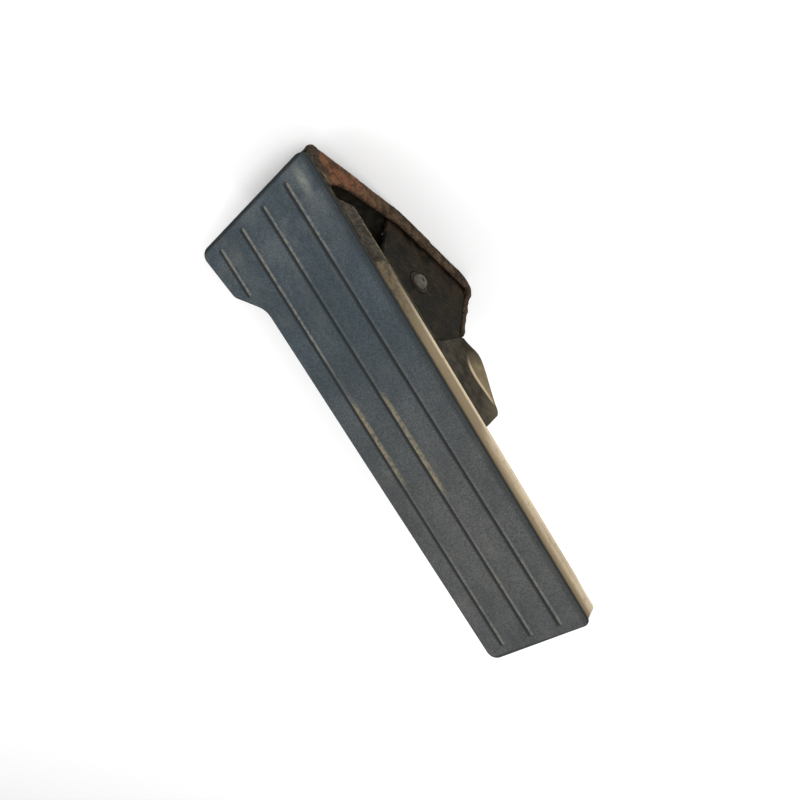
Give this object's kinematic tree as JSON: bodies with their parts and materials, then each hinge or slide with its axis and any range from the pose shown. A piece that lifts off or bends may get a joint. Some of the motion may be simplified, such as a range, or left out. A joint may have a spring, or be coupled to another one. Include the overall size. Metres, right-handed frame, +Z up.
{
  "type": "floor-mounted treadle throttle pedal",
  "caption": "Floor-mounted treadle throttle pedal: a ribbed rubber pad on a sprung steel treadle, hinged above a rusty pressed floor bracket.",
  "frame": {"origin": "centre of the floor bolt pattern on the pan's underside, directly below the pivot", "axes": "+Z up from the floor; +Y along the floor towards the toe end; +X to the driver's right, the side with the heel flare"},
  "size_m": [0.0948, 0.2649, 0.1948],
  "materials": {
    "rusty_steel": "matte rust",
    "grimy_steel": "matte, grimy",
    "weld_steel": "matte",
    "black_rubber": "matte",
    "bush_bronze": "satin, greasy",
    "plated_steel": "satin",
    "spring_steel": "satin",
    "black_plastic": "matte",
    "board_green": "satin",
    "pin_brass": "satin",
    "pad_rubber": "matte, grained, dusty",
    "dusty_steel": "matte, dusty",
    "frame_steel": "matte, grimy",
    "pin_steel": "satin, worn",
    "rotor_plastic": "satin"
  },
  "bodies": {
    "bracket": {"base_pan": "rusty_steel", "cheek_left": "grimy_steel", "cheek_right": "grimy_steel", "weld_beads": "weld_steel", "heel_rest": "rusty_steel", "heel_buffer": "black_rubber", "pivot_bushes": "bush_bronze", "thrust_washers": "plated_steel", "stop_bracket": "grimy_steel", "stop_screw": "plated_steel", "stop_nut": "plated_steel", "stop_cap": "black_rubber", "spring_left": "spring_steel", "spring_right": "spring_steel", "spring_anchor": "grimy_steel", "sensor_housing": "black_plastic", "sensor_cover": "black_plastic", "sensor_screws": "plated_steel", "sensor_board": "board_green", "connector_pins": "pin_brass"},
    "treadle": {"tread_pad": "pad_rubber", "tread_plate": "dusty_steel", "treadle_frame": "frame_steel", "frame_rivets": "plated_steel", "lug_left": "frame_steel", "lug_right": "frame_steel", "lug_welds": "weld_steel", "pivot_pin": "pin_steel", "drive_key": "plated_steel", "spring_sleeve": "black_plastic", "sensor_rotor": "rotor_plastic"}
  },
  "joints": [
    {"name": "treadle_tilt", "type": "hinge", "parent": "bracket", "child": "treadle", "pos_m": [0, 0, 0.04], "axis": [-1, 0, 0], "range_deg": [0, 16], "stiffness_Nm_per_rad": 7, "springref_deg": -17.19, "deforming": ["spring_left", "spring_right"]}
  ]
}
